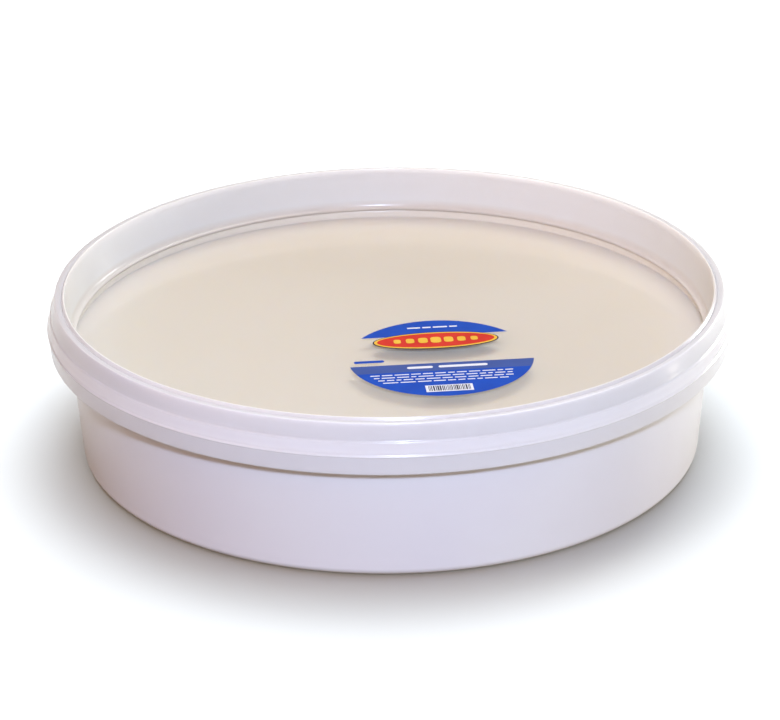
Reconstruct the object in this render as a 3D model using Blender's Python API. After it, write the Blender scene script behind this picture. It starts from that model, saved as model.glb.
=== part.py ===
# Family-size yogurt pot: a wide, shallow tub with a press-on lid.
# The lid has a hollow ring round a sunk clear panel, which carries a round colour print.
# The pot is turned about Z. The origin is the centre of the base, and the front is at -Y.

import math

import bmesh
import bpy

MM = 0.001

# Driving sizes of the whole pot
LID_RADIUS = 150.0 * MM
TOTAL_HEIGHT = 74.3 * MM
SKIRT_BOTTOM = 52.0 * MM
RECESS_DEPTH = 19.3 * MM
RECESS_RADIUS = 139.9 * MM
TUB_TOP_RADIUS = 140.8 * MM
TUB_BASE_RADIUS = 136.6 * MM
YOGURT_LEVEL = 50.0 * MM

# Walls, and the gap left between pieces that touch
LID_WALL = 1.0 * MM
TUB_WALL = 1.4 * MM
FLOOR_WALL = 1.6 * MM
CLEARANCE = 0.35 * MM

# Faces round the pot, and how far an arc's faces may stray from its true curve
SEGMENTS = 72
ARC_TOLERANCE = 0.07 * MM
FULL_TURN = 2.0 * math.pi

# Lid ring, from the recess outwards
PANEL_TOP = TOTAL_HEIGHT - RECESS_DEPTH
PANEL_UNDERSIDE = PANEL_TOP - LID_WALL
RECESS_CORNER = 2.4 * MM
RECESS_FLARE = 2.0 * MM
LIP_RADIUS = RECESS_RADIUS + RECESS_FLARE
LIP_WIDTH = 0.7 * MM
GROOVE_WIDTH = 1.3 * MM
GROOVE_DEPTH = 0.5 * MM
CREST_TOP = TOTAL_HEIGHT - 0.9 * MM
CREST_RADIUS = LID_RADIUS - 4.5 * MM
CREST_ROUNDING = 0.9 * MM
BROW_RADIUS = LID_RADIUS - 2.7 * MM
BROW_HEIGHT = CREST_TOP - 3.9 * MM
SHOULDER_RADIUS = LID_RADIUS - 1.4 * MM
SHOULDER_HEIGHT = CREST_TOP - 7.9 * MM
RING_UNDERSIDE = CREST_TOP - LID_WALL - 0.2 * MM
BELT_HEIGHT = SKIRT_BOTTOM + 8.2 * MM
BELT_STEP = 0.45 * MM
SKIRT_TAPER = 0.5 * MM
CATCH_BEAD = 2.8 * MM
CATCH_HEIGHT = BELT_HEIGHT + 2.4 * MM

# Tub
BASE_CORNER = 4.0 * MM
FOOT_INNER_RADIUS = 118.0 * MM
FOOT_HEIGHT = 0.8 * MM
LEDGE_HEIGHT = PANEL_UNDERSIDE - LID_WALL
LEDGE_RISE = 2.4 * MM
LEDGE_WIDTH = 2.8 * MM
LEDGE_UNDERCUT = 0.6 * MM
RIM_TOP = RING_UNDERSIDE - CLEARANCE
RIM_RADIUS = LIP_RADIUS + LID_WALL + CLEARANCE
RIM_BEAD = 1.3 * MM
RIM_BEAD_TOP = RIM_TOP - 3.2 * MM
RIM_BEAD_BOTTOM = RIM_TOP - 6.2 * MM

# Skin of the yogurt: rings of points, their soft swells and the lift where it meets the wall
SKIN_RINGS = 8
SKIN_SWELL = 0.35 * MM
SKIN_LIFT = 0.5 * MM
SWELL_LENGTH = 55.0 * MM

# Print on the panel: a disc of colour cut by a bare band, with an oval badge and a bar box
PRINT_CENTRE_X = 21.7 * MM
PRINT_CENTRE_Y = -40.2 * MM
PRINT_RADIUS = 40.0 * MM
PRINT_TURN = math.radians(5.5)
PRINT_THICKNESS = 0.3 * MM
UPPER_CHORD = 24.0 * MM
LOWER_CHORD = -6.0 * MM
BADGE_WIDTH = 18.0 * MM
BADGE_LENGTH = 55.0 * MM
BADGE_OFFSET = 18.0 * MM
BAR_BOX_LENGTH = 20.0 * MM
BAR_BOX_WIDTH = 6.5 * MM
BAR_BOX_OFFSET = -32.5 * MM


def make_material(name, colour, roughness, alpha=1.0):
    """One plain plastic or food finish."""
    material = bpy.data.materials.new(name)
    material.use_nodes = True
    shader = material.node_tree.nodes["Principled BSDF"]
    shader.inputs["Base Color"].default_value = (*colour, 1.0)
    shader.inputs["Roughness"].default_value = roughness
    shader.inputs["Alpha"].default_value = alpha
    shader.inputs["Metallic"].default_value = 0.0
    return material


def rounded(corners):
    """Turn (radius, height, rounding) corners into an outline with an arc at each rounded one."""
    outline = []
    for index, (x, z, rounding) in enumerate(corners):
        if rounding == 0.0:
            outline.append((x, z))
            continue
        before = corners[index - 1]
        after = corners[index + 1]
        into = (before[0] - x, before[1] - z)
        out = (after[0] - x, after[1] - z)
        into_length = math.hypot(*into)
        out_length = math.hypot(*out)
        into = (into[0] / into_length, into[1] / into_length)
        out = (out[0] / out_length, out[1] / out_length)
        opening = math.acos(max(-1.0, min(1.0, into[0] * out[0] + into[1] * out[1])))
        reach = rounding / math.tan(opening / 2.0)
        middle = (into[0] + out[0], into[1] + out[1])
        middle_length = math.hypot(*middle)
        depth = rounding / math.sin(opening / 2.0)
        centre = (x + middle[0] / middle_length * depth, z + middle[1] / middle_length * depth)
        start = (x + into[0] * reach, z + into[1] * reach)
        end = (x + out[0] * reach, z + out[1] * reach)
        start_angle = math.atan2(start[1] - centre[1], start[0] - centre[0])
        sweep = math.atan2(end[1] - centre[1], end[0] - centre[0]) - start_angle
        sweep = (sweep + math.pi) % FULL_TURN - math.pi
        widest_step = 2.0 * math.acos(1.0 - ARC_TOLERANCE / rounding)
        steps = math.ceil(abs(sweep) / widest_step)
        for step in range(steps + 1):
            angle = start_angle + sweep * step / steps
            outline.append((centre[0] + rounding * math.cos(angle), centre[1] + rounding * math.sin(angle)))
    return outline


def turned(name, outline, material, relief=None):
    """Spin an outline that starts and ends on the axis into one closed solid."""
    shape = bmesh.new()
    points = [shape.verts.new((radius, 0.0, height)) for radius, height in outline]
    edges = [shape.edges.new(pair) for pair in zip(points, points[1:])]
    bmesh.ops.spin(
        shape,
        geom=points + edges,
        cent=(0.0, 0.0, 0.0),
        axis=(0.0, 0.0, 1.0),
        angle=FULL_TURN,
        steps=SEGMENTS,
        use_merge=True,
    )
    bmesh.ops.remove_doubles(shape, verts=shape.verts, dist=0.001 * MM)
    if relief is not None:
        for point in shape.verts:
            point.co.z += relief(point.co.x, point.co.y, point.co.z)
    bmesh.ops.recalc_face_normals(shape, faces=shape.faces)
    return finish_solid(name, shape, material)


def flat_plate(name, outline, base_height, thickness, material):
    """Raise a flat outline into a plate that lies along the panel."""
    shape = bmesh.new()
    face = shape.faces.new([shape.verts.new((x, y, base_height)) for x, y in outline])
    raised = bmesh.ops.extrude_face_region(shape, geom=[face])
    top = [item for item in raised["geom"] if isinstance(item, bmesh.types.BMVert)]
    bmesh.ops.translate(shape, verts=top, vec=(0.0, 0.0, thickness))
    bmesh.ops.recalc_face_normals(shape, faces=shape.faces)
    return finish_solid(name, shape, material)


def finish_solid(name, shape, material):
    """Make the named object, shaded smooth with its crisp edges kept."""
    mesh = bpy.data.meshes.new(name)
    shape.to_mesh(mesh)
    shape.free()
    mesh.shade_smooth()
    mesh.set_sharp_from_angle(angle=math.radians(35.0))
    mesh.materials.append(material)
    piece = bpy.data.objects.new(name, mesh)
    bpy.context.scene.collection.objects.link(piece)
    return piece


def tub_inner_radius(height):
    """Radius of the tub's inner wall at a height below the ledge."""
    share = height / LEDGE_HEIGHT
    return TUB_BASE_RADIUS - TUB_WALL + (TUB_TOP_RADIUS - TUB_BASE_RADIUS) * share


def tub_outline():
    """Section of the tub, from the floor's centre up inside, over the rim and down outside."""
    floor = FOOT_HEIGHT + FLOOR_WALL
    mouth_foot = LEDGE_HEIGHT + LEDGE_RISE
    mouth_radius = tub_inner_radius(LEDGE_HEIGHT) + LEDGE_WIDTH
    rim_outer = RIM_RADIUS + TUB_WALL
    return rounded([
        (0.0, floor, 0.0),
        (tub_inner_radius(floor), floor, BASE_CORNER - TUB_WALL),
        (tub_inner_radius(LEDGE_HEIGHT), LEDGE_HEIGHT, 0.6 * MM),
        (mouth_radius, mouth_foot, 1.0 * MM),
        (RIM_RADIUS, RIM_TOP, 0.6 * MM),
        (rim_outer, RIM_TOP, 0.6 * MM),
        (rim_outer, RIM_BEAD_TOP, 0.0),
        (rim_outer + RIM_BEAD, RIM_BEAD_TOP - RIM_BEAD, 0.4 * MM),
        (rim_outer + RIM_BEAD, RIM_BEAD_BOTTOM, 0.4 * MM),
        (rim_outer - 0.5 * MM, RIM_BEAD_BOTTOM - RIM_BEAD, 0.0),
        (mouth_radius + 0.85 * TUB_WALL, mouth_foot - LEDGE_UNDERCUT, 0.8 * MM),
        (TUB_TOP_RADIUS, LEDGE_HEIGHT - LEDGE_UNDERCUT, 0.5 * MM),
        (TUB_BASE_RADIUS, 0.0, BASE_CORNER),
        (FOOT_INNER_RADIUS, 0.0, 0.0),
        (FOOT_INNER_RADIUS - FOOT_HEIGHT, FOOT_HEIGHT, 0.0),
        (0.0, FOOT_HEIGHT, 0.0),
    ])


def lid_outline():
    """Section of the lid, from the panel's centre over the ring, down the skirt and back under."""
    lip_outer = LIP_RADIUS + LIP_WIDTH
    groove_middle = lip_outer + GROOVE_WIDTH / 2.0
    skirt_foot = LID_RADIUS - BELT_STEP - SKIRT_TAPER
    inner_foot = skirt_foot - 1.15 * LID_WALL
    inner_belt = inner_foot + SKIRT_TAPER
    return rounded([
        (0.0, PANEL_TOP, 0.0),
        (RECESS_RADIUS, PANEL_TOP, RECESS_CORNER),
        (LIP_RADIUS, TOTAL_HEIGHT, 0.25 * MM),
        (lip_outer, TOTAL_HEIGHT, 0.2 * MM),
        (groove_middle, CREST_TOP - GROOVE_DEPTH, 0.0),
        (lip_outer + GROOVE_WIDTH, CREST_TOP, 0.0),
        (CREST_RADIUS, CREST_TOP, CREST_ROUNDING),
        (BROW_RADIUS, BROW_HEIGHT, 1.5 * MM),
        (SHOULDER_RADIUS, SHOULDER_HEIGHT, 3.0 * MM),
        (LID_RADIUS, BELT_HEIGHT, 0.25 * MM),
        (LID_RADIUS - BELT_STEP, BELT_HEIGHT - 0.7 * MM, 0.0),
        (skirt_foot, SKIRT_BOTTOM, 0.4 * MM),
        (inner_foot, SKIRT_BOTTOM, 0.4 * MM),
        (inner_belt, BELT_HEIGHT + 0.6 * MM, 0.0),
        (inner_belt - CATCH_BEAD, CATCH_HEIGHT, 0.5 * MM),
        (SHOULDER_RADIUS - LID_WALL, SHOULDER_HEIGHT - 0.7 * MM, 0.0),
        (BROW_RADIUS - 1.05 * LID_WALL, BROW_HEIGHT - 0.2 * MM, 1.5 * MM),
        (CREST_RADIUS - 0.6 * LID_WALL, RING_UNDERSIDE, 0.5 * MM),
        (LIP_RADIUS + LID_WALL, RING_UNDERSIDE, 0.4 * MM),
        (RECESS_RADIUS + LID_WALL, PANEL_UNDERSIDE, RECESS_CORNER + LID_WALL),
        (0.0, PANEL_UNDERSIDE, 0.0),
    ])


def yogurt_outline():
    """Section of the yogurt, from the centre of its skin outwards and down the tub's inside."""
    edge_radius = tub_inner_radius(YOGURT_LEVEL - SKIN_LIFT) - CLEARANCE
    base = FOOT_HEIGHT + FLOOR_WALL + CLEARANCE
    skin = [(edge_radius * ring / SKIN_RINGS, YOGURT_LEVEL) for ring in range(SKIN_RINGS)]
    side = rounded([
        (edge_radius, YOGURT_LEVEL, 0.0),
        (tub_inner_radius(base) - CLEARANCE, base, BASE_CORNER - TUB_WALL),
        (0.0, base, 0.0),
    ])
    return skin + side


def skin_relief(x, y, z):
    """Height that the yogurt's skin adds at a place: slow swells, and a lift near the wall."""
    if z < YOGURT_LEVEL - MM:
        return 0.0
    edge_radius = tub_inner_radius(YOGURT_LEVEL) - CLEARANCE
    share = min(1.0, math.hypot(x, y) / edge_radius)
    swell = math.sin(x / SWELL_LENGTH * 1.9 + 0.6) * math.cos(y / SWELL_LENGTH * 1.4 - 0.4)
    return SKIN_SWELL * swell * (1.0 - share ** 4) + SKIN_LIFT * share ** 10


def on_panel(along, up):
    """Place a point of the print: along its lines, and up them, from the disc's centre."""
    x = PRINT_CENTRE_X + along * math.cos(PRINT_TURN) - up * math.sin(PRINT_TURN)
    y = PRINT_CENTRE_Y + along * math.sin(PRINT_TURN) + up * math.cos(PRINT_TURN)
    return x, y


def disc_segment(chord, above):
    """Outline of the part of the print's disc that lies beyond a straight line across it."""
    reach = math.acos(abs(chord) / PRINT_RADIUS)
    middle = math.pi / 2.0 if above else -math.pi / 2.0
    steps = 32
    angles = [middle - reach + 2.0 * reach * step / steps for step in range(steps + 1)]
    return [on_panel(PRINT_RADIUS * math.cos(angle), PRINT_RADIUS * math.sin(angle)) for angle in angles]


def badge_outline(margin):
    """Outline of the oval badge, which lies along the print's lines, with a margin round it."""
    half_length = BADGE_LENGTH / 2.0 + margin
    half_width = BADGE_WIDTH / 2.0 + margin
    steps = 40
    outline = []
    for step in range(steps):
        angle = FULL_TURN * step / steps
        outline.append(on_panel(half_length * math.cos(angle), BADGE_OFFSET + half_width * math.sin(angle)))
    return outline


def bar_box_outline(margin):
    """Outline of the box that holds the bars, with a margin round it."""
    half_length = BAR_BOX_LENGTH / 2.0 + margin
    half_width = BAR_BOX_WIDTH / 2.0 + margin
    corners = [(-1.0, -1.0), (1.0, -1.0), (1.0, 1.0), (-1.0, 1.0)]
    return [on_panel(half_length * a, BAR_BOX_OFFSET + half_width * b) for a, b in corners]


def cut_clear(field, outline, base_height, material):
    """Cut a field of colour back round the piece that is printed inside its edge."""
    cutter = flat_plate(
        field.name + "_cutter", outline, base_height - PRINT_THICKNESS, 3.0 * PRINT_THICKNESS, material
    )
    cutter.hide_render = True
    cutter.display_type = "WIRE"
    cut = field.modifiers.new("cut", "BOOLEAN")
    cut.operation = "DIFFERENCE"
    cut.solver = "EXACT"
    cut.object = cutter


def make_print():
    """The print's fields of colour, as thin plates just clear of the panel and of each other."""
    blue = make_material("print blue", (0.02, 0.085, 0.47), 0.35)
    red = make_material("print red", (0.62, 0.03, 0.03), 0.35)
    white = make_material("print white", (0.85, 0.87, 0.92), 0.35)
    base = PANEL_TOP + CLEARANCE
    upper = flat_plate("print_upper", disc_segment(UPPER_CHORD, True), base, PRINT_THICKNESS, blue)
    lower = flat_plate("print_lower", disc_segment(LOWER_CHORD, False), base, PRINT_THICKNESS, blue)
    flat_plate("print_badge", badge_outline(0.0), base, PRINT_THICKNESS, red)
    flat_plate("print_bar_box", bar_box_outline(0.0), base, PRINT_THICKNESS, white)
    cut_clear(upper, badge_outline(CLEARANCE), base, blue)
    cut_clear(lower, bar_box_outline(CLEARANCE), base, blue)


def main():
    for leftover in list(bpy.data.objects):
        bpy.data.objects.remove(leftover, do_unlink=True)
    tub_plastic = make_material("tub plastic", (0.66, 0.63, 0.74), 0.3)
    lid_plastic = make_material("lid plastic", (0.78, 0.77, 0.85), 0.25, 0.5)
    cream = make_material("yogurt", (0.76, 0.69, 0.58), 0.45)
    turned("tub", tub_outline(), tub_plastic)
    turned("yogurt", yogurt_outline(), cream, skin_relief)
    turned("lid", lid_outline(), lid_plastic)
    make_print()


main()
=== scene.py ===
# %% [markdown]
# A family-size pot of yogurt, dressed round its fixed frame.
#
# The pot is a wide, shallow tub of white plastic with a press-on lid. The lid's ring is milky
# and its sunk panel is clear, so the cream yogurt shows through. This lesson loads the frame,
# sets up camera and light, makes the finishes, and then models each piece over its solid.

# %% Load the frame
import math
import random

import bmesh
import bpy
from mathutils import Matrix, Vector


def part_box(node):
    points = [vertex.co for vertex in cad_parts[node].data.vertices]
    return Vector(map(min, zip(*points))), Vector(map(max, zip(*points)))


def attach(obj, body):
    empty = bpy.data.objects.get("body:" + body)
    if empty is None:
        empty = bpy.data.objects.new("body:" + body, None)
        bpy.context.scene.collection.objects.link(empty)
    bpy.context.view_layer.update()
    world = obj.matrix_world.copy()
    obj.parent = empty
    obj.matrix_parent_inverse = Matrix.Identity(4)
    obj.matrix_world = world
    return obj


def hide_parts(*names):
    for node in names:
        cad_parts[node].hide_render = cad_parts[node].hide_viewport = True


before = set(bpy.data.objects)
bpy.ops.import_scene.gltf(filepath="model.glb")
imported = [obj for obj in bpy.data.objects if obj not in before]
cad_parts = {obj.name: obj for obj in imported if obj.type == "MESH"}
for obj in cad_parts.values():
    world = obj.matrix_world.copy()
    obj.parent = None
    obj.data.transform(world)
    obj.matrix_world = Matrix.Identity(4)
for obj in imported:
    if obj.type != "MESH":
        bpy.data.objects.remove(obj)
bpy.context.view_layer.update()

MM = 0.001
print("frame nodes:", sorted(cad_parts))

# %% [markdown]
# Everything is measured from the frame. The boxes of the solids give the radii and heights that
# the finished pieces have to keep, and the few sizes below them say how each section is shaped.
# Reading them from the frame, instead of typing them again, keeps the looks and the solids alike.

# %% Sizes read from the frame
lid_low, lid_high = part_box("lid")
tub_low, tub_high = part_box("tub")
yogurt_low, yogurt_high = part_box("yogurt")
print_low, print_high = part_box("print_lower")

LID_RADIUS = lid_high.x
TOTAL_HEIGHT = lid_high.z
SKIRT_BOTTOM = lid_low.z
RIM_TOP = tub_high.z
TUB_BEAD_RADIUS = tub_high.x
PRINT_GAP = 0.35 * MM
PANEL_TOP = print_low.z - PRINT_GAP
LID_WALL = 1.0 * MM
PANEL_UNDERSIDE = PANEL_TOP - LID_WALL
RECESS_RADIUS = LID_RADIUS - 10.1 * MM
LIP_RADIUS = LID_RADIUS - 8.1 * MM
YOGURT_LEVEL = 50.0 * MM
TUB_TOP_RADIUS = LID_RADIUS - 9.2 * MM
TUB_BASE_RADIUS = LID_RADIUS - 13.4 * MM
print("lid radius and height in mm:", round(LID_RADIUS / MM, 2), round(TOTAL_HEIGHT / MM, 2))
for label, low, high in (
    ("tub", tub_low, tub_high), ("yogurt", yogurt_low, yogurt_high), ("print", print_low, print_high)
):
    print(label, "heights in mm:", round(low.z / MM, 2), round(high.z / MM, 2))

# %% [markdown]
# The camera stands in front of the pot and looks down on it at about 25 degrees, from far enough
# away that the ring's near and far sides are almost equally wide. It is aimed at the pot's axis,
# a little above the base, and rolled by under a degree, as a hand-held camera is.

# %% Camera
CAMERA_DISTANCE = 1.36
CAMERA_ELEVATION = math.radians(25.23)
CAMERA_ROLL = math.radians(-0.77)
CAMERA_LENS = 140.0
AIM_HEIGHT = 0.0362


def aim(thing, target, roll=0.0):
    """Turn a camera or lamp so that it looks at a point."""
    towards = (Vector(target) - thing.location).to_track_quat("-Z", "Y").to_matrix()
    thing.rotation_euler = (towards @ Matrix.Rotation(roll, 3, "Z")).to_euler()


bpy.ops.object.camera_add()
camera = bpy.context.object
camera.name = "camera"
camera.location = (
    0.0,
    -CAMERA_DISTANCE * math.cos(CAMERA_ELEVATION),
    CAMERA_DISTANCE * math.sin(CAMERA_ELEVATION),
)
camera.data.lens = CAMERA_LENS
camera.data.sensor_width = 36.0
camera.data.clip_start = 0.05
aim(camera, (0.0, 0.0, AIM_HEIGHT), CAMERA_ROLL)
bpy.context.scene.camera = camera
bpy.context.scene.view_settings.view_transform = "Standard"
print("camera at", [round(value, 3) for value in camera.location])

# %% [markdown]
# The light is a plain studio set. A soft box above and behind the pot lights the yogurt. A small,
# cool lamp just over the camera lights the walls: it is what draws the thin shadow line of the
# skirt on the tub and the three small glints in front. Two lamps low on the right make the glints
# there, and a broad cool one on the left evens the wall. The floor has two lamps of its own: a
# broad one above draws the soft shadow round the foot, and a weak one in front lifts it a little.


# %% Lamps
def add_lamp(name, place, width, height, power, colour, target=(0.0, 0.0, 0.05)):
    """A rectangular soft box that faces the pot."""
    bpy.ops.object.light_add(type="AREA")
    lamp = bpy.context.object
    lamp.name = name
    lamp.data.shape = "RECTANGLE"
    lamp.data.size = width
    lamp.data.size_y = height
    lamp.data.energy = power
    lamp.data.color = colour
    lamp.location = place
    aim(lamp, target)
    return lamp


def around(turn, rise, distance):
    """A place round the pot: degrees to the right of the camera, degrees up, and metres away."""
    turn = math.radians(turn)
    rise = math.radians(rise)
    level = distance * math.cos(rise)
    return (level * math.sin(turn), -level * math.cos(turn), distance * math.sin(rise))


add_lamp("soft_box_above", (0.25, 0.8, 1.65), 1.3, 1.0, 16.5, (1.0, 0.99, 0.93))
camera_lamp = add_lamp("camera_lamp", around(3.5, 32.0, 1.4), 0.1, 0.1, 16.4, (0.58, 0.705, 1.0))
floor_lamp = add_lamp("floor_lamp", (0.0, 0.25, 1.6), 1.6, 1.6, 46.0, (0.91, 0.96, 1.0))
floor_fill = add_lamp("floor_fill", around(0.0, 40.0, 1.5), 0.4, 0.4, 3.0, (0.6, 0.8, 1.0))
cool_lamp = add_lamp("cool_lamp_left", around(-75.0, 12.0, 1.5), 1.6, 0.8, 2.2, (0.6, 0.55, 1.0))
window_lamp = add_lamp("window_right", around(127.0, 7.0, 1.5), 0.34, 0.42, 13.5, (1.0, 1.0, 0.99))
add_lamp("small_lamp_right", around(99.0, -1.0, 1.4), 0.1, 0.1, 0.35, (1.0, 0.93, 0.82))

# %% [markdown]
# The room is a world material that reads the direction of the light. In front and above it goes
# from a warm left to a dim middle and right, behind the pot it is a dim grey, and from below only
# the right side shines, as a bright table beside a window does. The three are blended by masks.

# %% Room light
ROOM_LEFT = (1.42, 0.90, 0.32, 1.0)
ROOM_MIDDLE = (0.25, 0.08, 0.06, 1.0)
ROOM_RIGHT = (0.55, 0.47, 0.20, 1.0)
ROOM_BEHIND = (0.30, 0.30, 0.30, 1.0)
TABLE_RIGHT = (1.20, 1.08, 0.93, 1.0)
DARK = (0.0, 0.0, 0.0, 1.0)
EDGE_SOFTNESS = 0.1

# A Mix node has sockets for numbers, vectors and colours. These are the colour ones.
MIX_COLOUR_INPUTS = (6, 7)
MIX_COLOUR_OUTPUT = 2

room = bpy.data.worlds.new("room")
bpy.context.scene.world = room
room.use_nodes = True
room_nodes = room.node_tree.nodes
room_links = room.node_tree.links
direction = room_nodes.new("ShaderNodeTexCoord")
split = room_nodes.new("ShaderNodeSeparateXYZ")
room_links.new(direction.outputs["Generated"], split.inputs[0])


def room_mask(axis, low, high):
    """How far the light's direction lies along an axis, from 0 at low to 1 at high."""
    span = room_nodes.new("ShaderNodeMapRange")
    span.inputs["From Min"].default_value = low
    span.inputs["From Max"].default_value = high
    room_links.new(split.outputs[axis], span.inputs["Value"])
    return span.outputs["Result"]


def room_ramp(left, middle, right):
    """Three colours from left to right across the room."""
    ramp = room_nodes.new("ShaderNodeValToRGB")
    ramp.color_ramp.elements[0].color = left
    ramp.color_ramp.elements[1].color = right
    ramp.color_ramp.elements.new(0.5).color = middle
    room_links.new(room_mask("X", -1.0, 1.0), ramp.inputs["Fac"])
    return ramp.outputs["Color"]


def room_blend(mask, first, second):
    """Blend two parts of the room by a mask."""
    blend = room_nodes.new("ShaderNodeMix")
    blend.data_type = "RGBA"
    room_links.new(mask, blend.inputs["Factor"])
    for index, part in zip(MIX_COLOUR_INPUTS, (first, second)):
        if isinstance(part, tuple):
            blend.inputs[index].default_value = part
        else:
            room_links.new(part, blend.inputs[index])
    return blend.outputs[MIX_COLOUR_OUTPUT]


above = room_blend(
    room_mask("Y", -EDGE_SOFTNESS, EDGE_SOFTNESS),
    room_ramp(ROOM_LEFT, ROOM_MIDDLE, ROOM_RIGHT), ROOM_BEHIND,
)
below = room_ramp(DARK, DARK, TABLE_RIGHT)
whole = room_blend(room_mask("Z", -EDGE_SOFTNESS, EDGE_SOFTNESS), below, above)
room_links.new(whole, room_nodes["Background"].inputs["Color"])

# %% [markdown]
# A plain pale floor catches the shadow. It is one big plane, far larger than the picture. It
# doesn't throw its light back at the pot, as white paper would, and it doesn't stop the light that
# the room sends up from below, so the room alone fills the shadow under the skirt. Light linking
# keeps the floor's lamps on the floor, and the camera's lamp, the cool lamp and the window on the pot.


# %% Small helpers for selecting and finishing
def deselect_all():
    """Leave nothing selected, so that an operator acts only on the new piece."""
    if bpy.context.object and bpy.context.object.mode != "OBJECT":
        bpy.ops.object.mode_set(mode="OBJECT")
    bpy.ops.object.select_all(action="DESELECT")


def make_active(piece):
    """Select one piece alone and make it the active one."""
    deselect_all()
    piece.select_set(True)
    bpy.context.view_layer.objects.active = piece


def settle(piece, name):
    """Name a piece, put its place into its mesh and say how big it came out."""
    deselect_all()
    make_active(piece)
    piece.name = name
    piece.data.name = name
    bpy.ops.object.transform_apply(location=True, rotation=True, scale=True)
    print(name, "has", len(piece.data.polygons), "faces")
    return piece


def apply_modifier(piece, kind, **settings):
    """Add one modifier with its settings and apply it at once."""
    make_active(piece)
    modifier = piece.modifiers.new(kind.lower(), kind)
    for key, value in settings.items():
        setattr(modifier, key, value)
    bpy.ops.object.modifier_apply(modifier=modifier.name)


# %% Floor
FLOOR_SIZE = 7.0
deselect_all()
bpy.ops.mesh.primitive_plane_add(size=FLOOR_SIZE, location=(0.0, 0.0, 0.0))
floor = settle(bpy.context.object, "floor")
floor.visible_diffuse = False
floor.visible_shadow = False

floor_alone = bpy.data.collections.new("floor_alone")
floor_alone.objects.link(floor)
floor_lamp.light_linking.receiver_collection = floor_alone
floor_fill.light_linking.receiver_collection = floor_alone
all_but_floor = bpy.data.collections.new("all_but_floor")
all_but_floor.objects.link(floor)
all_but_floor.collection_objects[0].light_linking.link_state = "EXCLUDE"
camera_lamp.light_linking.receiver_collection = all_but_floor
window_lamp.light_linking.receiver_collection = all_but_floor
cool_lamp.light_linking.receiver_collection = all_but_floor

# %% [markdown]
# Several finishes share the same small effects, so each effect is a node group, built once. The
# first gives slow, cloudy changes, as moulded plastic and set yogurt both have. The second gives
# a soft band between two heights. The third is the faint orange-peel bump of moulded plastic.


# %% Shared effects as node groups
def new_group(name, inputs, outputs):
    """Start a shader node group with its sockets, and return it with its two end nodes."""
    group = bpy.data.node_groups.new(name, "ShaderNodeTree")
    for label, kind, value in inputs:
        socket = group.interface.new_socket(label, in_out="INPUT", socket_type=kind)
        if value is not None:
            socket.default_value = value
    for label, kind in outputs:
        group.interface.new_socket(label, in_out="OUTPUT", socket_type=kind)
    start = group.nodes.new("NodeGroupInput")
    end = group.nodes.new("NodeGroupOutput")
    return group, start, end


def join(tree, source, target):
    """Link two sockets of one node tree."""
    tree.links.new(source, target)


def math_node(tree, operation, first, second, clamp=False):
    """A Math node whose inputs are sockets or plain numbers."""
    node = tree.nodes.new("ShaderNodeMath")
    node.operation = operation
    node.use_clamp = clamp
    for slot_index, value in enumerate((first, second)):
        if isinstance(value, (int, float)):
            node.inputs[slot_index].default_value = value
        elif value is not None:
            join(tree, value, node.inputs[slot_index])
    return node.outputs[0]


def build_clouds():
    """Slow cloudy changes: a mask from 0 to 1 at a given size of cloud."""
    group, start, end = new_group(
        "clouds",
        [
            ("Position", "NodeSocketVector", None),
            ("Scale", "NodeSocketFloat", 20.0),
            ("Low", "NodeSocketFloat", 0.35),
            ("High", "NodeSocketFloat", 0.65),
        ],
        [("Mask", "NodeSocketFloat")],
    )
    noise = group.nodes.new("ShaderNodeTexNoise")
    noise.inputs["Detail"].default_value = 3.0
    noise.inputs["Roughness"].default_value = 0.45
    span = group.nodes.new("ShaderNodeMapRange")
    span.interpolation_type = "SMOOTHSTEP"
    join(group, start.outputs["Position"], noise.inputs["Vector"])
    join(group, start.outputs["Scale"], noise.inputs["Scale"])
    join(group, noise.outputs["Fac"], span.inputs["Value"])
    join(group, start.outputs["Low"], span.inputs["From Min"])
    join(group, start.outputs["High"], span.inputs["From Max"])
    join(group, span.outputs["Result"], end.inputs["Mask"])
    return group


def build_band():
    """A soft-edged band between two levels of any value, such as height or radius."""
    group, start, end = new_group(
        "band",
        [
            ("Value", "NodeSocketFloat", 0.0),
            ("From", "NodeSocketFloat", 0.0),
            ("To", "NodeSocketFloat", 1.0),
            ("Softness", "NodeSocketFloat", 0.1),
        ],
        [("Mask", "NodeSocketFloat")],
    )
    value = start.outputs["Value"]
    soft = start.outputs["Softness"]
    up = math_node(group, "DIVIDE", math_node(group, "SUBTRACT", value, start.outputs["From"]), soft)
    down = math_node(group, "DIVIDE", math_node(group, "SUBTRACT", start.outputs["To"], value), soft)
    up = math_node(group, "ADD", up, 0.5, clamp=True)
    down = math_node(group, "ADD", down, 0.5, clamp=True)
    join(group, math_node(group, "MULTIPLY", up, down), end.inputs["Mask"])
    return group


def build_mould_skin():
    """The faint waviness that a mould leaves in plastic, as a normal."""
    group, start, end = new_group(
        "mould_skin",
        [
            ("Position", "NodeSocketVector", None),
            ("Scale", "NodeSocketFloat", 300.0),
            ("Depth", "NodeSocketFloat", 0.00002),
        ],
        [("Normal", "NodeSocketVector")],
    )
    noise = group.nodes.new("ShaderNodeTexNoise")
    noise.inputs["Detail"].default_value = 2.0
    bump = group.nodes.new("ShaderNodeBump")
    bump.inputs["Strength"].default_value = 1.0
    join(group, start.outputs["Position"], noise.inputs["Vector"])
    join(group, start.outputs["Scale"], noise.inputs["Scale"])
    join(group, start.outputs["Depth"], bump.inputs["Distance"])
    join(group, noise.outputs["Fac"], bump.inputs["Height"])
    join(group, bump.outputs["Normal"], end.inputs["Normal"])
    return group


CLOUDS = build_clouds()
BAND = build_band()
MOULD_SKIN = build_mould_skin()
print("effects:", CLOUDS.name, BAND.name, MOULD_SKIN.name)


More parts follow.
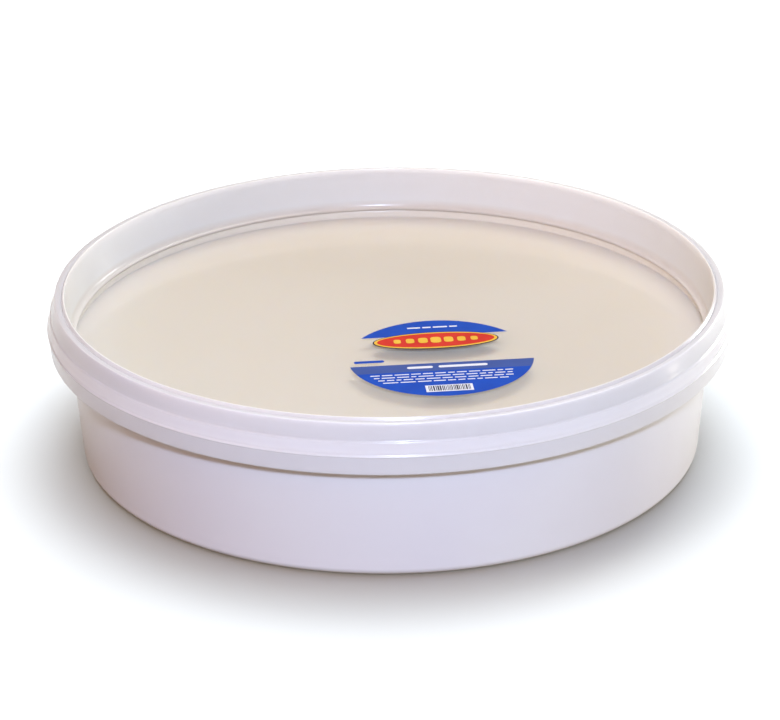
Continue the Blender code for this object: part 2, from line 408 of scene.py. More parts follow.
# %% Helpers for materials
class Finish:
    """One material in the making: its tree, its shader and the place on the piece."""

    def __init__(self, name):
        self.material = bpy.data.materials.new(name)
        self.material.use_nodes = True
        self.tree = self.material.node_tree
        self.shader = self.tree.nodes["Principled BSDF"]
        self.place = self.tree.nodes.new("ShaderNodeTexCoord").outputs["Object"]
        self.split = self.tree.nodes.new("ShaderNodeSeparateXYZ")
        join(self.tree, self.place, self.split.inputs[0])

    def plain(self, **values):
        """Set the shader's own sockets, with words joined by _ for spaces."""
        for key, value in values.items():
            self.shader.inputs[key.replace("_", " ")].default_value = value

    def effect(self, group, **values):
        """Place a shared effect, giving each input a plain value or a socket."""
        node = self.tree.nodes.new("ShaderNodeGroup")
        node.node_tree = group
        for key, value in values.items():
            if isinstance(value, bpy.types.NodeSocket):
                join(self.tree, value, node.inputs[key])
            else:
                node.inputs[key].default_value = value
        return node.outputs[0]

    def radius(self):
        """Distance of a point from the pot's axis."""
        x, y = self.split.outputs["X"], self.split.outputs["Y"]
        squares = math_node(self.tree, "ADD", self.maths("MULTIPLY", x, x), self.maths("MULTIPLY", y, y))
        return self.maths("SQRT", squares, None)

    def maths(self, operation, first, second, clamp=False):
        """A Math node in this material."""
        return math_node(self.tree, operation, first, second, clamp)

    def blend(self, mask, first, second):
        """Mix two colours, given as RGB or as sockets, by a mask."""
        node = self.tree.nodes.new("ShaderNodeMix")
        node.data_type = "RGBA"
        if isinstance(mask, bpy.types.NodeSocket):
            join(self.tree, mask, node.inputs["Factor"])
        else:
            node.inputs["Factor"].default_value = mask
        for index, colour in zip(MIX_COLOUR_INPUTS, (first, second)):
            if isinstance(colour, bpy.types.NodeSocket):
                join(self.tree, colour, node.inputs[index])
            else:
                node.inputs[index].default_value = (*colour, 1.0)
        return node.outputs[MIX_COLOUR_OUTPUT]

    def feed(self, socket, target):
        """Feed one of the shader's sockets."""
        join(self.tree, socket, self.shader.inputs[target])

    def pass_light(self, share):
        """Let a share of a lamp's light, and of scattered light, go straight through."""
        path = self.tree.nodes.new("ShaderNodeLightPath")
        open_way = self.tree.nodes.new("ShaderNodeBsdfTransparent")
        open_way.inputs["Color"].default_value = (share, share, share, 1.0)
        mix = self.tree.nodes.new("ShaderNodeMixShader")
        straight = self.maths("MAXIMUM", path.outputs["Is Shadow Ray"], path.outputs["Is Diffuse Ray"])
        join(self.tree, straight, mix.inputs[0])
        join(self.tree, self.shader.outputs[0], mix.inputs[1])
        join(self.tree, open_way.outputs[0], mix.inputs[2])
        join(self.tree, mix.outputs[0], self.tree.nodes["Material Output"].inputs["Surface"])


def dress(piece, *finishes):
    """Give a piece its finishes in the order of its material slots."""
    piece.data.materials.clear()
    for finish in finishes:
        piece.data.materials.append(finish.material)


# %% [markdown]
# The tub is white polypropylene. It is smooth and glossy, a little light sinks into it, and the
# mould leaves a very faint waviness. Slow clouds of tone keep it from looking painted. Inside,
# just above the yogurt, a smear of cream hides the white, as it does once a full pot is carried.

# %% Finish of the tub
TUB_WHITE = (0.848, 0.832, 0.864)
TUB_SHADE = (0.82, 0.80, 0.848)
SMEAR = (0.80, 0.74, 0.64)


def finish_tub():
    """White glossy plastic with cloudy tone, mould skin and a smear of yogurt inside."""
    finish = Finish("tub_plastic")
    tone = finish.effect(CLOUDS, Position=finish.place, Scale=14.0, Low=0.25, High=0.75)
    inside = finish.effect(
        BAND, Value=finish.radius(), From=0.0, To=TUB_TOP_RADIUS - 0.8 * MM, Softness=0.4 * MM
    )
    near_level = finish.effect(
        BAND, Value=finish.split.outputs["Z"], From=YOGURT_LEVEL - 4.0 * MM, To=1.0, Softness=2.0 * MM
    )
    smear = finish.maths("MULTIPLY", inside, near_level)
    plastic = finish.blend(tone, TUB_WHITE, TUB_SHADE)
    finish.feed(finish.blend(smear, plastic, SMEAR), "Base Color")
    finish.feed(finish.effect(MOULD_SKIN, Position=finish.place, Scale=60.0, Depth=0.00002), "Normal")
    finish.plain(Subsurface_Weight=0.3, Subsurface_Radius=(1.0, 0.9, 0.95), Subsurface_Scale=0.003)
    finish.plain(Roughness=0.26, IOR=1.49)
    return finish


# %% [markdown]
# The lid is one moulding in natural polypropylene. Where it is thick and doubled, in the ring, it
# looks milky. Two faint darker bands of painted shade run round its outer side: a narrow one over
# the tub's bead inside, and a wider one on the lower skirt, which faces down. Inside the recess the
# wall is painted lighter and warmer, a painted glow of the light and the cream that shine through
# the thin plastic. At its foot it is painted darker and warmer, as painted shade in the corner and
# the cream seen through it. In the sunk panel it is so thin that it is simply clear, and it hardly
# mirrors the wall, so it bends light less than solid plastic would. The ring is a pale plastic that
# light sinks into, and the panel is a clear one that lets lamps through to light the yogurt.

# %% Finishes of the lid
RING_WHITE = (0.89, 0.88, 0.90)
RING_SHADE = (0.80, 0.785, 0.825)
RECESS_PAINTED_GLOW = (0.93, 0.92, 0.885)
RECESS_FOOT_PAINTED_SHADE = (0.84, 0.78, 0.70)
GROOVE_SHADE = (0.56, 0.545, 0.565)
PAINTED_SHADE_BANDS = ((62.5, 64.5, 0.3), (50.0, 59.4, 0.8))
GROOVE_LOW = 72.5 * MM
FOOT_HEIGHT_ABOVE = 2.5 * MM
PANEL_TINT = (0.985, 0.985, 0.98)
PANEL_PASS = 0.93


def finish_ring():
    """Milky plastic of the lid's ring, with painted shade bands, a painted glow in the recess and painted
    shade at its foot.
    """
    finish = Finish("lid_ring")
    height = finish.split.outputs["Z"]
    radius = finish.radius()
    tone = finish.effect(CLOUDS, Position=finish.place, Scale=16.0, Low=0.25, High=0.75)
    colour = finish.blend(finish.maths("MULTIPLY", tone, 0.35), RING_WHITE, RING_SHADE)
    # Painted shade: a narrow darker band over the tub's bead inside and a wider one on the lower skirt.
    for low, high, share in PAINTED_SHADE_BANDS:
        band = finish.effect(BAND, Value=height, From=low * MM, To=high * MM, Softness=1.2 * MM)
        colour = finish.blend(finish.maths("MULTIPLY", band, share), colour, RING_SHADE)
    # Inside the recess the wall is painted lighter and warmer, a painted glow of light and cream through
    # the thin plastic.
    inside = finish.effect(BAND, Value=radius, From=0.0, To=LIP_RADIUS + 0.6 * MM, Softness=0.3 * MM)
    colour = finish.blend(inside, colour, RECESS_PAINTED_GLOW)
    # At the recess's foot a darker, warmer colour is painted: shade in the corner and cream seen through
    # it.
    foot_top = PANEL_TOP + FOOT_HEIGHT_ABOVE
    foot = finish.effect(BAND, Value=height, From=0.0, To=foot_top, Softness=3.0 * MM)
    colour = finish.blend(finish.maths("MULTIPLY", inside, foot), colour, RECESS_FOOT_PAINTED_SHADE)
    groove = finish.effect(
        BAND, Value=radius, From=LIP_RADIUS + 0.6 * MM, To=LIP_RADIUS + 1.4 * MM, Softness=0.25 * MM
    )
    high_up = finish.effect(BAND, Value=height, From=GROOVE_LOW, To=1.0, Softness=0.4 * MM)
    groove = finish.maths("MULTIPLY", groove, high_up)
    colour = finish.blend(finish.maths("MULTIPLY", groove, 0.8), colour, GROOVE_SHADE)
    finish.feed(colour, "Base Color")
    finish.feed(finish.effect(MOULD_SKIN, Position=finish.place, Scale=60.0, Depth=0.00003), "Normal")
    finish.plain(Subsurface_Weight=0.6, Subsurface_Radius=(1.0, 0.95, 0.95), Subsurface_Scale=0.006)
    finish.plain(Roughness=0.2, IOR=1.49)
    return finish


def finish_panel():
    """Clear plastic of the panel. Lamps shine straight through it."""
    finish = Finish("lid_panel")
    haze = finish.effect(CLOUDS, Position=finish.place, Scale=11.0)
    gloss = finish.maths("ADD", 0.06, finish.maths("MULTIPLY", haze, 0.06))
    finish.feed(gloss, "Roughness")
    finish.feed(finish.effect(MOULD_SKIN, Position=finish.place, Scale=18.0, Depth=0.00006), "Normal")
    finish.plain(Base_Color=(*PANEL_TINT, 1.0), Transmission_Weight=0.96, IOR=1.12)
    finish.pass_light(PANEL_PASS)
    return finish


# %% [markdown]
# The yogurt is cream, dull and slightly see-through, like all set milk. Its skin is nearly even:
# soft clouds of a paler and a deeper cream, two fine creases towards the back, drawn as lines of
# painted shade, and a paler edge where it meets the tub, a painted haze of the panel there. A crease
# is a thin band across the skin, given in millimetres by its left and right ends and how far back
# each end lies.

# %% Finish of the yogurt
CREAM = (0.785, 0.73, 0.615)
CREAM_DEEP = (0.76, 0.695, 0.57)
CREAM_PALE_AND_PAINTED_HAZE = (0.80, 0.755, 0.685)
CREASE_PAINTED_SHADE = (0.70, 0.61, 0.49)
CREASES = ((-8.0, 10.0, 72.5, 73.2), (16.0, 43.0, 76.4, 84.2))
CREASE_WAVE = 2.5 * MM
CREASE_WIDTH = 1.0 * MM
PAINTED_HAZE_RADIUS = 128.0 * MM


def crease_mask(finish, left, right, start, end):
    """A fine wavy line of painted shade in the skin, from left to right, that fades out at both ends."""
    slope = (end - start) / (right - left)
    wave = finish.effect(CLOUDS, Position=finish.place, Scale=70.0, Low=0.2, High=0.8)
    across = finish.maths("ADD", finish.split.outputs["Y"], finish.maths("MULTIPLY", wave, CREASE_WAVE))
    tilt = finish.maths("MULTIPLY", finish.split.outputs["X"], slope)
    across = finish.maths("SUBTRACT", across, tilt)
    lowest = (start - slope * left) * MM + CREASE_WAVE / 2.0 - CREASE_WIDTH / 2.0
    line = finish.effect(
        BAND, Value=across, From=lowest, To=lowest + CREASE_WIDTH, Softness=1.2 * MM
    )
    span = finish.effect(
        BAND, Value=finish.split.outputs["X"], From=left * MM, To=right * MM, Softness=6.0 * MM
    )
    return finish.maths("MULTIPLY", line, span)


def finish_yogurt():
    """Cream with soft clouds, two creases of painted shade, a paler edge of painted haze and a dull skin.
    """
    finish = Finish("yogurt")
    slow = finish.effect(CLOUDS, Position=finish.place, Scale=9.0)
    fine = finish.effect(CLOUDS, Position=finish.place, Scale=60.0, Low=0.4, High=0.6)
    colour = finish.blend(finish.maths("MULTIPLY", slow, 0.7), CREAM, CREAM_DEEP)
    colour = finish.blend(finish.maths("MULTIPLY", fine, 0.12), colour, CREAM_PALE_AND_PAINTED_HAZE)
    for left, right, start, end in CREASES:
        crease = crease_mask(finish, left, right, start, end)
        # Each crease is painted as a darker line of shade.
        colour = finish.blend(finish.maths("MULTIPLY", crease, 0.45), colour, CREASE_PAINTED_SHADE)
    # A paler edge is painted near the tub's wall, a painted haze of the clear panel there.
    rim = finish.effect(BAND, Value=finish.radius(), From=PAINTED_HAZE_RADIUS, To=1.0, Softness=20.0 * MM)
    finish.feed(finish.blend(rim, colour, CREAM_PALE_AND_PAINTED_HAZE), "Base Color")
    wet = finish.maths("SUBTRACT", 0.55, finish.maths("MULTIPLY", slow, 0.15))
    finish.feed(wet, "Roughness")
    finish.feed(finish.effect(MOULD_SKIN, Position=finish.place, Scale=120.0, Depth=0.00015), "Normal")
    finish.plain(Subsurface_Weight=0.5, Subsurface_Radius=(1.0, 0.8, 0.55), Subsurface_Scale=0.003)
    finish.plain(Specular_IOR_Level=0.06)
    return finish


# %% [markdown]
# The print is ink on the panel. All its inks are made alike: a flat colour with a very slight
# unevenness, as ink has on plastic, and hardly any gloss. A layer of ink is thin, so it lets part
# of the light through, and its shadow on the yogurt is soft.


# %% Finishes of the print
INK_PASS = 0.65


def finish_ink(name, colour, deeper):
    """One printed ink."""
    finish = Finish(name)
    tone = finish.effect(CLOUDS, Position=finish.place, Scale=130.0)
    finish.feed(finish.blend(tone, colour, deeper), "Base Color")
    finish.feed(finish.maths("ADD", 0.4, finish.maths("MULTIPLY", tone, 0.1)), "Roughness")
    finish.feed(finish.effect(MOULD_SKIN, Position=finish.place, Scale=400.0, Depth=0.00001), "Normal")
    finish.plain(Specular_IOR_Level=0.08)
    finish.pass_light(INK_PASS)
    return finish


def finish_floor():
    """Matt studio paper."""
    finish = Finish("studio_paper")
    tone = finish.effect(CLOUDS, Position=finish.place, Scale=3.0)
    finish.feed(finish.blend(tone, (0.59, 0.62, 0.65), (0.58, 0.61, 0.64)), "Base Color")
    finish.plain(Roughness=0.9, Specular_IOR_Level=0.1)
    return finish


TUB_PLASTIC = finish_tub()
LID_RING = finish_ring()
LID_PANEL = finish_panel()
YOGURT = finish_yogurt()
INK_BLUE = finish_ink("print_blue", (0.010, 0.070, 0.46), (0.012, 0.080, 0.50))
INK_SLATE = finish_ink("print_slate", (0.055, 0.10, 0.33), (0.06, 0.11, 0.36))
INK_RED = finish_ink("print_red", (0.62, 0.035, 0.02), (0.68, 0.045, 0.025))
INK_YELLOW = finish_ink("print_yellow", (0.83, 0.50, 0.05), (0.88, 0.56, 0.07))
INK_WHITE = finish_ink("print_white", (0.84, 0.86, 0.91), (0.80, 0.83, 0.90))
INK_DARK = finish_ink("print_dark", (0.02, 0.02, 0.045), (0.03, 0.03, 0.06))
dress(floor, finish_floor())

# %% [markdown]
# The tub and the lid are both turned shapes, so both can be drawn up ring by ring: a circle is
# added, and each further ring of the wall is extruded from the last, moved to its height and
# scaled to its radius. Sharp rings are then bevelled, one by one, each by its own width. A lathe
# or Screw modifier would also do it, but rings keep every corner of the section in reach.

# %% Raising a wall ring by ring
RING_POINTS = 288
POLE_RADIUS = 2.0 * MM


def start_ring(radius, height):
    """Add the first circle of points and stay in edit mode."""
    deselect_all()
    bpy.ops.mesh.primitive_circle_add(
        vertices=RING_POINTS, radius=radius, fill_type="NOTHING", location=(0.0, 0.0, height)
    )
    piece = bpy.context.object
    bpy.ops.object.transform_apply(location=True)
    bpy.ops.object.mode_set(mode="EDIT")
    bpy.ops.mesh.select_all(action="SELECT")
    return piece


def extrude_ring(radius_now, radius, rise):
    """Extrude the selected ring, move it up or down and scale it to its new radius."""
    bpy.ops.mesh.extrude_region_move(TRANSFORM_OT_translate={"value": (0.0, 0.0, rise)})
    share = radius / radius_now
    bpy.ops.transform.resize(value=(share, share, 1.0), center_override=(0.0, 0.0, 0.0))


def select_ring(piece, radius, height):
    """Select the ring of edges at a radius and height, and return how many edges it has."""
    bpy.ops.mesh.select_all(action="DESELECT")
    bpy.ops.mesh.select_mode(type="EDGE")
    shape = bmesh.from_edit_mesh(piece.data)
    found = 0
    for edge in shape.edges:
        near = [
            abs(math.hypot(point.co.x, point.co.y) - radius) < 0.02 * MM
            and abs(point.co.z - height) < 0.02 * MM
            for point in edge.verts
        ]
        if all(near):
            edge.select = True
            found += 1
    shape.select_flush_mode()
    bmesh.update_edit_mesh(piece.data)
    return found


def close_pole(piece, radius, height):
    """Fill the small hole left at the axis."""
    select_ring(piece, radius, height)
    bpy.ops.mesh.edge_face_add()


def raise_wall(name, section):
    """Build a closed turned piece from its (radius, height, rounding, steps) corners."""
    radius, height = section[0][:2]
    piece = start_ring(radius, height)
    for corner in section[1:]:
        extrude_ring(radius, corner[0], corner[1] - height)
        radius, height = corner[:2]
    close_pole(piece, *section[0][:2])
    close_pole(piece, *section[-1][:2])
    for radius, height, rounding, steps in section:
        if rounding:
            select_ring(piece, radius, height)
            bpy.ops.mesh.bevel(offset=rounding, segments=steps, affect="EDGES")
    bpy.ops.mesh.select_all(action="SELECT")
    bpy.ops.mesh.normals_make_consistent(inside=False)
    bpy.ops.object.mode_set(mode="OBJECT")
    bpy.ops.object.shade_smooth_by_angle(angle=math.radians(32.0))
    return settle(piece, name)


# %% [markdown]
# The tub is one moulding: a floor on a low foot ring, a wall with a few degrees of draft, a
# ledge that steps out under the lid, and a rim with a bead that the lid's skirt grips. The
# section below runs from the floor's middle up the inside, over the rim and down the outside.


# %% Tub
FLOOR_TOP = 2.4 * MM
FOOT_HEIGHT = 0.8 * MM
FOOT_INNER_RADIUS = 118.0 * MM
TUB_WALL = 1.4 * MM
LEDGE_HEIGHT = PANEL_UNDERSIDE - LID_WALL
LEDGE_UNDERCUT = 0.6 * MM
MOUTH_FOOT = LEDGE_HEIGHT + 2.4 * MM
RIM_RADIUS = LIP_RADIUS + 1.35 * MM
RIM_OUTER = RIM_RADIUS + TUB_WALL


def tub_inner_radius(height):
    """Radius of the tub's inner wall at a height below the ledge."""
    return TUB_BASE_RADIUS - TUB_WALL + (TUB_TOP_RADIUS - TUB_BASE_RADIUS) * height / LEDGE_HEIGHT


mouth_radius = tub_inner_radius(LEDGE_HEIGHT) + 2.8 * MM
tub = raise_wall("tub_shell", [
    (POLE_RADIUS, FLOOR_TOP, 0, 0),
    (tub_inner_radius(FLOOR_TOP), FLOOR_TOP, 2.4 * MM, 5),
    (tub_inner_radius(LEDGE_HEIGHT), LEDGE_HEIGHT, 0.5 * MM, 3),
    (mouth_radius, MOUTH_FOOT, 0.6 * MM, 3),
    (RIM_RADIUS, RIM_TOP, 0.5 * MM, 3),
    (RIM_OUTER, RIM_TOP, 0.5 * MM, 3),
    (RIM_OUTER, RIM_TOP - 3.2 * MM, 0, 0),
    (TUB_BEAD_RADIUS, RIM_TOP - 4.5 * MM, 0.3 * MM, 2),
    (TUB_BEAD_RADIUS, RIM_TOP - 6.2 * MM, 0.3 * MM, 2),
    (RIM_OUTER - 0.5 * MM, RIM_TOP - 7.5 * MM, 0, 0),
    (mouth_radius + 1.2 * MM, MOUTH_FOOT - LEDGE_UNDERCUT, 0.6 * MM, 3),
    (TUB_TOP_RADIUS, LEDGE_HEIGHT - LEDGE_UNDERCUT, 0.4 * MM, 3),
    (TUB_BASE_RADIUS, 0.0, 3.7 * MM, 8),
    (FOOT_INNER_RADIUS, 0.0, 0.2 * MM, 2),
    (FOOT_INNER_RADIUS - FOOT_HEIGHT, FOOT_HEIGHT, 0.2 * MM, 2),
    (POLE_RADIUS, FOOT_HEIGHT, 0, 0),
])
dress(tub, TUB_PLASTIC)
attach(tub, "root")
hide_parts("tub")

# %% [markdown]
# The lid is made the same way, in one piece: the clear panel, the recess wall, a fine upright lip,
# a groove, the rounded crest, and then the outer side in three steps down to the skirt's edge.
# The faces of the panel get the clear finish and all others the milky one.

# %% Lid
CREST_TOP = TOTAL_HEIGHT - 0.9 * MM
CREST_RADIUS = LID_RADIUS - 3.9 * MM
BROW_RADIUS = LID_RADIUS - 2.7 * MM
BROW_HEIGHT = CREST_TOP - 3.9 * MM
SHOULDER_RADIUS = LID_RADIUS - 1.4 * MM
SHOULDER_HEIGHT = CREST_TOP - 7.5 * MM
RIDGE = 0.3 * MM
BELT_HEIGHT = SKIRT_BOTTOM + 8.2 * MM
BELT_STEP = 0.45 * MM
SKIRT_FOOT = LID_RADIUS - BELT_STEP - 0.5 * MM
INNER_FOOT = SKIRT_FOOT - 1.15 * LID_WALL
RING_UNDERSIDE = CREST_TOP - 1.2 * MM
CLEAR_RADIUS = RECESS_RADIUS - 2.0 * MM

lid = raise_wall("lid_shell", [
    (POLE_RADIUS, PANEL_TOP, 0, 0),
    (CLEAR_RADIUS, PANEL_TOP, 0, 0),
    (RECESS_RADIUS, PANEL_TOP, 1.9 * MM, 6),
    (LIP_RADIUS, TOTAL_HEIGHT, 0.22 * MM, 4),
    (LIP_RADIUS + 0.7 * MM, TOTAL_HEIGHT, 0.2 * MM, 3),
    (LIP_RADIUS + 1.35 * MM, CREST_TOP - 0.5 * MM, 0.2 * MM, 3),
    (LIP_RADIUS + 2.0 * MM, CREST_TOP, 0.2 * MM, 3),
    (CREST_RADIUS, CREST_TOP, 0.35 * MM, 5),
    (BROW_RADIUS, BROW_HEIGHT, 1.2 * MM, 5),
    (SHOULDER_RADIUS - 2.0 * RIDGE, SHOULDER_HEIGHT + 2.0 * RIDGE, 0.15 * MM, 2),
    (SHOULDER_RADIUS, SHOULDER_HEIGHT, 0.25 * MM, 4),
    (LID_RADIUS - 2.0 * RIDGE, BELT_HEIGHT + 2.5 * RIDGE, 0.2 * MM, 2),
    (LID_RADIUS, BELT_HEIGHT, 0.2 * MM, 4),
    (LID_RADIUS - BELT_STEP, BELT_HEIGHT - 0.7 * MM, 0.25 * MM, 3),
    (SKIRT_FOOT, SKIRT_BOTTOM, 0.35 * MM, 4),
    (INNER_FOOT, SKIRT_BOTTOM, 0.35 * MM, 4),
    (INNER_FOOT + 0.5 * MM, BELT_HEIGHT + 0.6 * MM, 0, 0),
    (INNER_FOOT - 2.3 * MM, BELT_HEIGHT + 2.4 * MM, 0.4 * MM, 3),
    (SHOULDER_RADIUS - LID_WALL, SHOULDER_HEIGHT - 0.7 * MM, 0, 0),
    (BROW_RADIUS - 1.05 * LID_WALL, BROW_HEIGHT - 0.2 * MM, 0.8 * MM, 3),
    (CREST_RADIUS - 0.6 * LID_WALL, RING_UNDERSIDE, 0.4 * MM, 3),
    (LIP_RADIUS + LID_WALL, RING_UNDERSIDE, 0.35 * MM, 3),
    (RECESS_RADIUS + LID_WALL, PANEL_UNDERSIDE, 2.8 * MM, 6),
    (CLEAR_RADIUS, PANEL_UNDERSIDE, 0, 0),
    (POLE_RADIUS, PANEL_UNDERSIDE, 0, 0),
])
dress(lid, LID_RING, LID_PANEL)
clear_faces = 0
for face in lid.data.polygons:
    middle_of_face = face.center
    if math.hypot(middle_of_face.x, middle_of_face.y) < CLEAR_RADIUS:
        face.material_index = 1
        clear_faces += 1
print("clear faces of the lid:", clear_faces)
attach(lid, "root")
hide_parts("lid")

# %% [markdown]
# The yogurt fills the tub up to a few millimetres below the panel, and reaches just into the
# tub's wall so that no gap shows between them. Its skin needs many rings to carry the slow
# swells, which a Displace modifier with a cloud texture gives it.

# %% Yogurt
SKIN_RINGS = 46
WALL_REACH = 0.1 * MM
SWELL_HEIGHT = 0.9 * MM

yogurt_edge = tub_inner_radius(YOGURT_LEVEL) + WALL_REACH
yogurt_base = FLOOR_TOP - WALL_REACH
skin_section = [(yogurt_edge * (ring + 1) / SKIN_RINGS, YOGURT_LEVEL, 0, 0) for ring in range(SKIN_RINGS)]
yogurt = raise_wall("yogurt_body", skin_section + [
    (tub_inner_radius(yogurt_base) + WALL_REACH, yogurt_base, 2.3 * MM, 4),
    (POLE_RADIUS, yogurt_base, 0, 0),
])
skin_points = yogurt.vertex_groups.new(name="skin")
for point in yogurt.data.vertices:
    share = math.hypot(point.co.x, point.co.y) / yogurt_edge
    if point.co.z > YOGURT_LEVEL - 0.01 * MM:
        skin_points.add([point.index], max(0.0, 1.0 - share ** 8), "REPLACE")
swells = bpy.data.textures.new("skin_swells", "CLOUDS")
swells.noise_scale = 0.06
swells.noise_depth = 1
apply_modifier(
    yogurt, "DISPLACE", texture=swells, texture_coords="LOCAL", direction="Z",
    strength=SWELL_HEIGHT, mid_level=0.5, vertex_group="skin",
)
dress(yogurt, YOGURT)
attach(yogurt, "root")
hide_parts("yogurt")

# %% [markdown]
# The print lies on the panel, off centre and a little turned: a round field of blue with a bare
# band across it, an oval badge on the band, and a white box of bars. It is made of thin sheets
# of ink. Each is a flat shape cut to its outline and extruded by the thickness of a layer, and
# each layer lies a hair above the one under it. The small marks are plain bars, with no lettering.

# %% Print: the layers and how a sheet is made
PRINT_CENTRE = Vector((21.7 * MM, -40.2 * MM, 0.0))
PRINT_RADIUS = 40.0 * MM
PRINT_TURN = math.radians(5.5)
UPPER_CHORD = 24.0 * MM
LOWER_CHORD = -6.0 * MM
INK_THICKNESS = 0.06 * MM
LAYER_STEP = 0.08 * MM
FIRST_LAYER = PANEL_TOP + 0.02 * MM


def lay_on_panel(piece, layer):
    """Turn and move a flat shape, drawn about its own origin, to its place on the panel."""
    make_active(piece)
    piece.rotation_euler = (0.0, 0.0, PRINT_TURN)
    piece.location = PRINT_CENTRE + Vector((0.0, 0.0, FIRST_LAYER + layer * LAYER_STEP))
    bpy.ops.object.transform_apply(location=True, rotation=True, scale=True)


def thicken():
    """Extrude the flat shape in edit mode by one thickness of ink and close it below."""
    bpy.ops.mesh.select_all(action="SELECT")
    bpy.ops.mesh.normals_make_consistent(inside=False)
    bpy.ops.mesh.select_all(action="SELECT")
    bpy.ops.mesh.extrude_region_move(TRANSFORM_OT_translate={"value": (0.0, 0.0, INK_THICKNESS)})
    bpy.ops.mesh.select_all(action="SELECT")
    bpy.ops.mesh.normals_make_consistent(inside=False)
    bpy.ops.object.mode_set(mode="OBJECT")


def cut_across(height, keep_above):
    """Cut the shape in edit mode along a straight line and keep one side of it."""
    bpy.ops.mesh.select_all(action="SELECT")
    bpy.ops.mesh.bisect(
        plane_co=(0.0, height, 0.0), plane_no=(0.0, 1.0, 0.0),
        clear_inner=keep_above, clear_outer=not keep_above,
    )


def add_disc_field(name, low, high, layer, finish):
    """A slice of the round field between two straight lines."""
    deselect_all()
    bpy.ops.mesh.primitive_circle_add(vertices=192, radius=PRINT_RADIUS, fill_type="NGON")
    piece = bpy.context.object
    bpy.ops.object.mode_set(mode="EDIT")
    if low is not None:
        cut_across(low, True)
    if high is not None:
        cut_across(high, False)
    thicken()
    lay_on_panel(piece, layer)
    dress(settle(piece, name), finish)
    return piece


def add_oval(name, length, width, up, layer, finish):
    """An oval of ink that lies along the print's lines."""
    deselect_all()
    bpy.ops.mesh.primitive_circle_add(vertices=128, radius=1.0, fill_type="NGON")
    piece = bpy.context.object
    bpy.ops.object.mode_set(mode="EDIT")
    bpy.ops.transform.resize(value=(length / 2.0, width / 2.0, 1.0), center_override=(0.0, 0.0, 0.0))
    bpy.ops.transform.translate(value=(0.0, up, 0.0))
    thicken()
    lay_on_panel(piece, layer)
    dress(settle(piece, name), finish)
    return piece


def add_bar(length, width, along, up, rounding=0.0):
    """One bar of ink, left flat in object mode, its corners rounded."""
    deselect_all()
    bpy.ops.mesh.primitive_plane_add(size=1.0)
    piece = bpy.context.object
    bpy.ops.object.mode_set(mode="EDIT")
    bpy.ops.transform.resize(value=(length, width, 1.0), center_override=(0.0, 0.0, 0.0))
    bpy.ops.transform.translate(value=(along, up, 0.0))
    if rounding:
        bpy.ops.mesh.select_all(action="SELECT")
        bpy.ops.mesh.bevel(offset=rounding, segments=4, affect="VERTICES")
    thicken()
    return piece


def join_bars(name, bars, layer, finish):
    """Join bars into one piece and lay it on the panel."""
    deselect_all()
    for bar in bars:
        bar.select_set(True)
    bpy.context.view_layer.objects.active = bars[0]
    bpy.ops.object.join()
    piece = bpy.context.object
    lay_on_panel(piece, layer)
    dress(settle(piece, name), finish)
    return piece


def finish_print(piece, slot_name, *nodes):
    """Let a piece of the print ride on the pot. The slot name is not used."""
    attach(piece, "root")
    if nodes:
        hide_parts(*nodes)


# %% Print: the fields of colour
STRIP_TOP = LOWER_CHORD
STRIP_BOTTOM = LOWER_CHORD - 8.0 * MM

upper_field = add_disc_field("print_upper_field", UPPER_CHORD, None, 0, INK_BLUE)
lower_field = add_disc_field("print_lower_field", None, STRIP_BOTTOM, 0, INK_BLUE)
strip_field = add_disc_field("print_strip", STRIP_BOTTOM, STRIP_TOP, 0, INK_SLATE)
finish_print(upper_field, "print_blue", "print_upper")
finish_print(lower_field, "print_blue", "print_lower")
finish_print(strip_field, "print_blue")

# %% [markdown]
# The badge is a plain oval: a dark edge, a yellow border and a red field with a row of yellow
# beads. Each is an oval a little smaller than the one below it.

# %% Print: the badge
BADGE_LENGTH = 55.0 * MM
BADGE_WIDTH = 18.0 * MM
BADGE_UP = 18.0 * MM
BEADS = 7
BEAD_SPACING = 5.6 * MM

badge_edge = add_oval("print_badge_edge", BADGE_LENGTH, BADGE_WIDTH, BADGE_UP, 1, INK_DARK)
badge_border = add_oval(
    "print_badge_border", BADGE_LENGTH - 1.2 * MM, BADGE_WIDTH - 1.2 * MM, BADGE_UP, 2, INK_YELLOW
)
badge_field = add_oval(
    "print_badge_field", BADGE_LENGTH - 3.8 * MM, BADGE_WIDTH - 3.4 * MM, BADGE_UP, 3, INK_RED
)
beads = []
for bead in range(BEADS):
    offset = bead - (BEADS - 1) / 2.0
    size = 4.6 * MM - 0.5 * MM * abs(offset)
    beads.append(add_bar(size, 1.3 * size, offset * BEAD_SPACING, BADGE_UP, 0.35 * size))
badge_beads = join_bars("print_badge_beads", beads, 4, INK_YELLOW)
for part in (badge_edge, badge_border, badge_beads):
    finish_print(part, "print_red")
finish_print(badge_field, "print_red", "print_badge")

# %% [markdown]
# The small print becomes rows of short white bars of uneven length, at the real print's size and
# pitch. The box of bars is a white sheet with dark upright bars of three widths. Both come from
# loops with a seeded draw, so they are the same on each run.

# %% Print: the small marks
draw = random.Random(11)
SMALL_PITCH = 2.6 * MM
SMALL_HEIGHT = 0.75 * MM
SMALL_GAP = 0.9 * MM


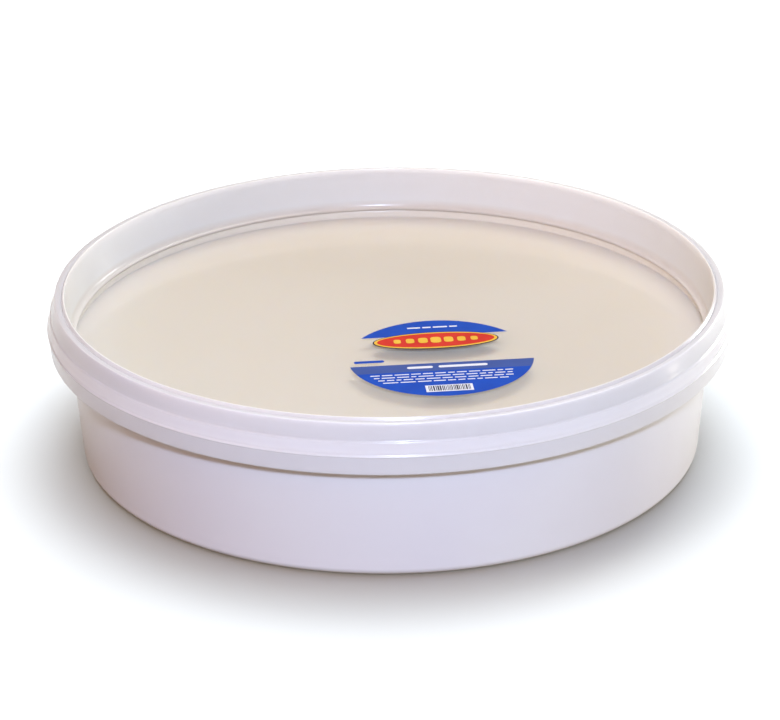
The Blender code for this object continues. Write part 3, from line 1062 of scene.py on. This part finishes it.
def small_row(up, half_length, height=SMALL_HEIGHT):
    """A row of short bars that fills a line of the print."""
    bars = []
    start = -half_length
    while start < half_length - 2.0 * MM:
        length = draw.uniform(2.0, 6.5) * MM
        length = min(length, half_length - start)
        bars.append(add_bar(length, height, start + length / 2.0, up, 0.3 * height))
        start += length + SMALL_GAP
    return bars


small_bars = []
for row in range(4):
    row_up = STRIP_BOTTOM - 2.6 * MM - row * SMALL_PITCH
    row_reach = math.sqrt(PRINT_RADIUS ** 2 - row_up ** 2) - 4.5 * MM
    small_bars += small_row(row_up, row_reach)
small_print = join_bars("print_small_rows", small_bars, 1, INK_WHITE)
top_row = join_bars("print_top_row", small_row(UPPER_CHORD + 8.5 * MM, 11.0 * MM, 1.2 * MM), 1, INK_WHITE)
strip_bars = [
    add_bar(11.0 * MM, 2.1 * MM, -10.0 * MM, (STRIP_TOP + STRIP_BOTTOM) / 2.0, 0.9 * MM),
    add_bar(21.0 * MM, 2.1 * MM, 8.5 * MM, (STRIP_TOP + STRIP_BOTTOM) / 2.0, 0.9 * MM),
]
strip_marks = join_bars("print_strip_bars", strip_bars, 1, INK_WHITE)
side_mark = join_bars(
    "print_side_bar", [add_bar(13.0 * MM, 2.4 * MM, -31.0 * MM, -1.5 * MM, 1.0 * MM)], 0, INK_BLUE
)
for part in (small_print, top_row, strip_marks):
    finish_print(part, "print_white")
finish_print(side_mark, "print_blue")

# %% Print: the box of bars
BOX_LENGTH = 20.0 * MM
BOX_WIDTH = 6.5 * MM
BOX_UP = -32.5 * MM

bar_box = join_bars(
    "print_bar_sheet", [add_bar(BOX_LENGTH, BOX_WIDTH, 0.0, BOX_UP)], 2, INK_WHITE
)
upright_bars = []
place = -BOX_LENGTH / 2.0 + 1.2 * MM
while place < BOX_LENGTH / 2.0 - 1.2 * MM:
    width = draw.choice((0.25, 0.4, 0.65)) * MM
    upright_bars.append(add_bar(width, BOX_WIDTH - 1.6 * MM, place + width / 2.0, BOX_UP))
    place += width + draw.choice((0.3, 0.45)) * MM
bar_marks = join_bars("print_bars", upright_bars, 3, INK_DARK)
finish_print(bar_box, "print_white", "print_bar_box")
finish_print(bar_marks, "print_white")
